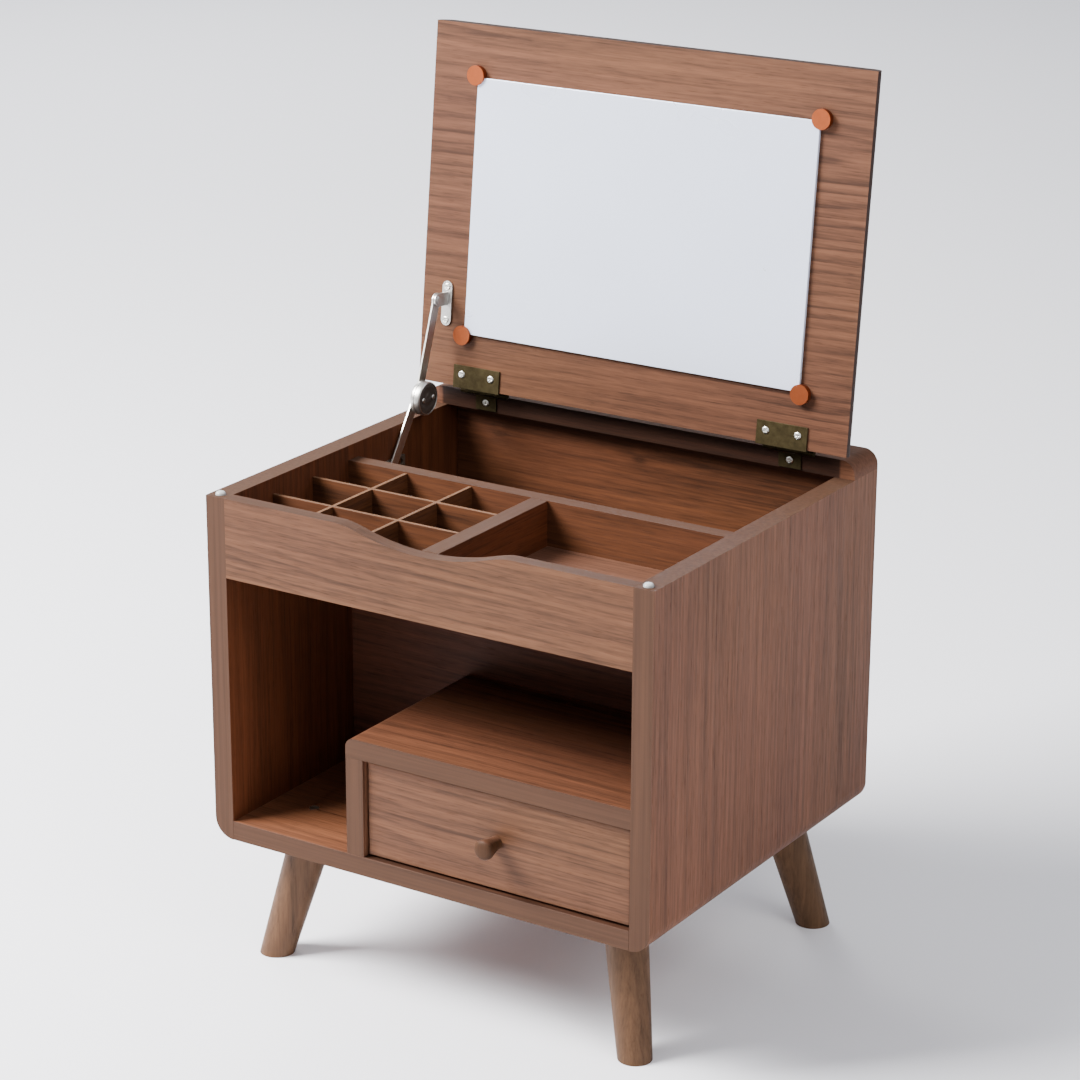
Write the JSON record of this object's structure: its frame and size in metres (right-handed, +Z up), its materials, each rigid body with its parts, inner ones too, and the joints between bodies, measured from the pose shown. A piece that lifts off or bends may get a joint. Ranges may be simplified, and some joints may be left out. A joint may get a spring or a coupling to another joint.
{
  "type": "jewellery chest",
  "caption": "Small walnut-look vanity chest on splayed legs: flip-up mirror lid on a folding stay, divided tray, deep rear well, open shelf and a sliding drawer.",
  "frame": {"origin": "middle of the bounding box on the floor, under the feet, lid open and drawer shut", "axes": "+Z up, the longest extent with the lid open; -Y is the front with the drawer and knob; +X is the viewer's right when facing the front"},
  "size_m": [0.4, 0.358, 0.7092],
  "materials": {
    "walnut_laminate": "satin walnut-pattern laminate",
    "front_laminate": "satin walnut-pattern laminate, lighter streaks",
    "inner_board": "satin stained board",
    "leg_wood": "turned solid wood, clear satin",
    "drawer_wood": "unfinished pale board",
    "mirror_glass": "silvered glass",
    "copper_plate": "polished copper-coloured plating",
    "antique_brass": "dark aged plating",
    "nickel_steel": "nickel plated",
    "zinc_steel": "bright zinc",
    "black_plastic": "satin",
    "clear_rubber": "clear soft plastic"
  },
  "bodies": {
    "case": {"left_side_panel": "walnut_laminate", "right_side_panel": "walnut_laminate", "bottom_panel": "walnut_laminate", "back_panel": "walnut_laminate", "rear_top_strip": "walnut_laminate", "front_rail": "front_laminate", "tray_floor": "inner_board", "tray_rear_wall": "inner_board", "tray_centre_divider": "inner_board", "tray_grid_lengthwise": "inner_board", "tray_grid_crosswise": "inner_board", "shelf_back": "inner_board", "housing_upright": "walnut_laminate", "housing_top": "walnut_laminate", "leg_front_left": "leg_wood", "leg_front_right": "leg_wood", "leg_rear_left": "leg_wood", "leg_rear_right": "leg_wood", "leg_bolts": "zinc_steel", "hinge_strip_leaves": "antique_brass", "hinge_pins": "antique_brass", "hinge_strip_screws": "zinc_steel", "stay_guide_plate": "nickel_steel", "stay_guide_screws": "zinc_steel", "lid_bumpers": "clear_rubber"},
    "lid": {"lid_board": "walnut_laminate", "mirror_glass": "mirror_glass", "mirror_clips": "copper_plate", "mirror_clip_screws": "zinc_steel", "hinge_lid_leaves": "antique_brass", "hinge_lid_screws": "zinc_steel", "stay_lid_bracket": "nickel_steel", "stay_lid_rivet": "nickel_steel", "stay_bracket_screws": "zinc_steel"},
    "drawer": {"drawer_front": "front_laminate", "drawer_left_side": "drawer_wood", "drawer_right_side": "drawer_wood", "drawer_back": "drawer_wood", "drawer_bottom": "drawer_wood", "drawer_knob": "leg_wood", "knob_screw": "zinc_steel"},
    "stay_upper": {"stay_upper_arm": "nickel_steel"},
    "stay_lower": {"stay_lower_arm": "nickel_steel", "stay_elbow_axle": "nickel_steel", "stay_friction_drum": "nickel_steel", "stay_drum_cap": "black_plastic", "stay_guide_stud": "nickel_steel"}
  },
  "joints": [
    {"name": "lid_hinge", "type": "hinge", "parent": "case", "child": "lid", "pos_m": [0, 0.1371, 0.4075], "axis": [1, 0, 0], "range_deg": [0, 96]},
    {"name": "drawer_slide", "type": "slide", "parent": "case", "child": "drawer", "axis": [0, -1, 0], "range_m": [0, 0.12]},
    {"name": "stay_top_pivot", "type": "hinge", "parent": "lid", "child": "stay_upper", "pos_m": [-0.17665, 0.11745, 0.48649], "axis": [1, 0, 0], "range_deg": [-37, 0]},
    {"name": "stay_elbow_pivot", "type": "hinge", "parent": "stay_upper", "child": "stay_lower", "pos_m": [-0.17665, 0.09041, 0.41014], "axis": [1, 0, 0], "range_deg": [-159, 0]}
  ],
  "couplings": [
    {"joint": "stay_top_pivot", "follows": "lid_hinge", "ratio": -0.385},
    {"joint": "stay_elbow_pivot", "follows": "lid_hinge", "ratio": -1.656}
  ]
}
